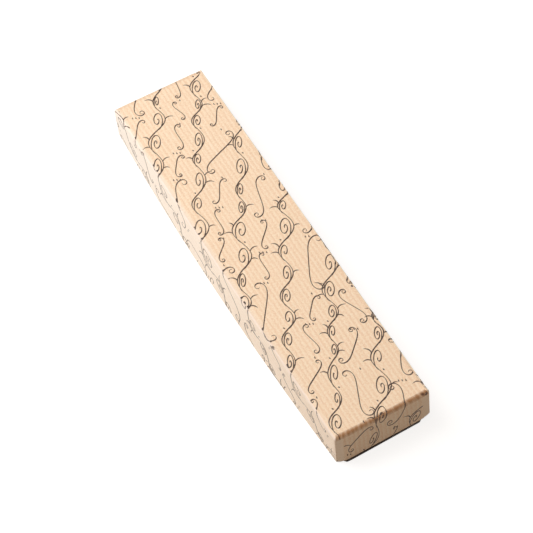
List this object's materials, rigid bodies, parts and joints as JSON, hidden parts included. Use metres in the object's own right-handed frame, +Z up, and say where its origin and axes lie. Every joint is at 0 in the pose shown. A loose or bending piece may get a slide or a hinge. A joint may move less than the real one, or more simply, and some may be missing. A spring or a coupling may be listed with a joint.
{
  "type": "calligraphy set box",
  "caption": "Slim telescoping gift box in ribbed kraft paper with a lift-off lid, holding a dip pen, a vial of ink and a sliding-lid box of spare nibs in a die-cut insert.",
  "frame": {"origin": "middle of the underside of the base, on the table", "axes": "+Z up out of the lid, Y along the box's length, X across its width; the pen's nib points to -Y"},
  "size_m": [0.0514, 0.2268, 0.02],
  "materials": {
    "greyboard": "matte",
    "tape": "matte",
    "ribbed_kraft": "matte",
    "lining": "matte",
    "dark_paper": "matte",
    "flocked_foam": "matte",
    "turned_wood": "satin",
    "brass": "satin",
    "spring_steel": "satin",
    "bronzed_steel": "satin",
    "nib_steel": "satin",
    "glass": "gloss",
    "ink": "gloss",
    "label_paper": "matte",
    "cap_plastic": "satin",
    "liner": "matte",
    "clear_plastic": "gloss",
    "pad_foam": "matte"
  },
  "bodies": {
    "base": {"base_board": "greyboard", "base_corner_stays": "tape", "base_wrap": "dark_paper", "base_bottom_sheet": "dark_paper", "insert_floor": "flocked_foam", "insert": "flocked_foam"},
    "lid": {"lid_board": "greyboard", "lid_corner_stays": "tape", "lid_wrap": "ribbed_kraft", "lid_lining": "lining"},
    "pen": {"pen_handle": "turned_wood", "pen_ferrule": "brass", "nib_clip": "spring_steel"},
    "nib": {"pointed_nib": "bronzed_steel"},
    "vial": {"ink_vial": "glass", "ink": "ink", "vial_label": "label_paper"},
    "cap_seal": {"cap_liner": "liner"},
    "cap": {"vial_cap": "cap_plastic"},
    "nib_box": {"nib_box_tray": "clear_plastic", "nib_box_pad": "pad_foam", "fine_broad_nib": "nib_steel", "medium_broad_nib": "bronzed_steel", "wide_broad_nib": "nib_steel"},
    "nib_box_cover": {"nib_box_lid": "clear_plastic"}
  },
  "joints": [
    {"name": "lid_lift", "type": "slide", "parent": "base", "child": "lid", "axis": [0, 0, 1], "range_m": [0, 0.12]},
    {"name": "pen_lift", "type": "slide", "parent": "base", "child": "pen", "axis": [0, 0, 1], "range_m": [0, 0.048]},
    {"name": "vial_lift", "type": "slide", "parent": "base", "child": "vial", "axis": [0, 0, 1], "range_m": [0, 0.042]},
    {"name": "nib_box_lift", "type": "slide", "parent": "base", "child": "nib_box", "axis": [0, 0, 1], "range_m": [0, 0.036]},
    {"name": "nib_pull", "type": "slide", "parent": "pen", "child": "nib", "axis": [0, -1, 0], "range_m": [0, 0.012]},
    {"name": "cap_rise", "type": "slide", "parent": "vial", "child": "cap_seal", "axis": [0, 1, 0], "range_m": [0, 0.0045]},
    {"name": "cap_turn", "type": "hinge", "parent": "cap_seal", "child": "cap", "pos_m": [0.00675, -0.048, 0.0105], "axis": [0, 1, 0], "range_deg": [0, 540]},
    {"name": "nib_box_slide", "type": "slide", "parent": "nib_box", "child": "nib_box_cover", "axis": [0, -1, 0], "range_m": [0, 0.04]}
  ],
  "couplings": [
    {"joint": "pen_lift", "follows": "lid_lift", "ratio": 0.4},
    {"joint": "vial_lift", "follows": "lid_lift", "ratio": 0.35},
    {"joint": "nib_box_lift", "follows": "lid_lift", "ratio": 0.3},
    {"joint": "cap_turn", "follows": "cap_rise", "rad_per_m": 2094.4}
  ]
}
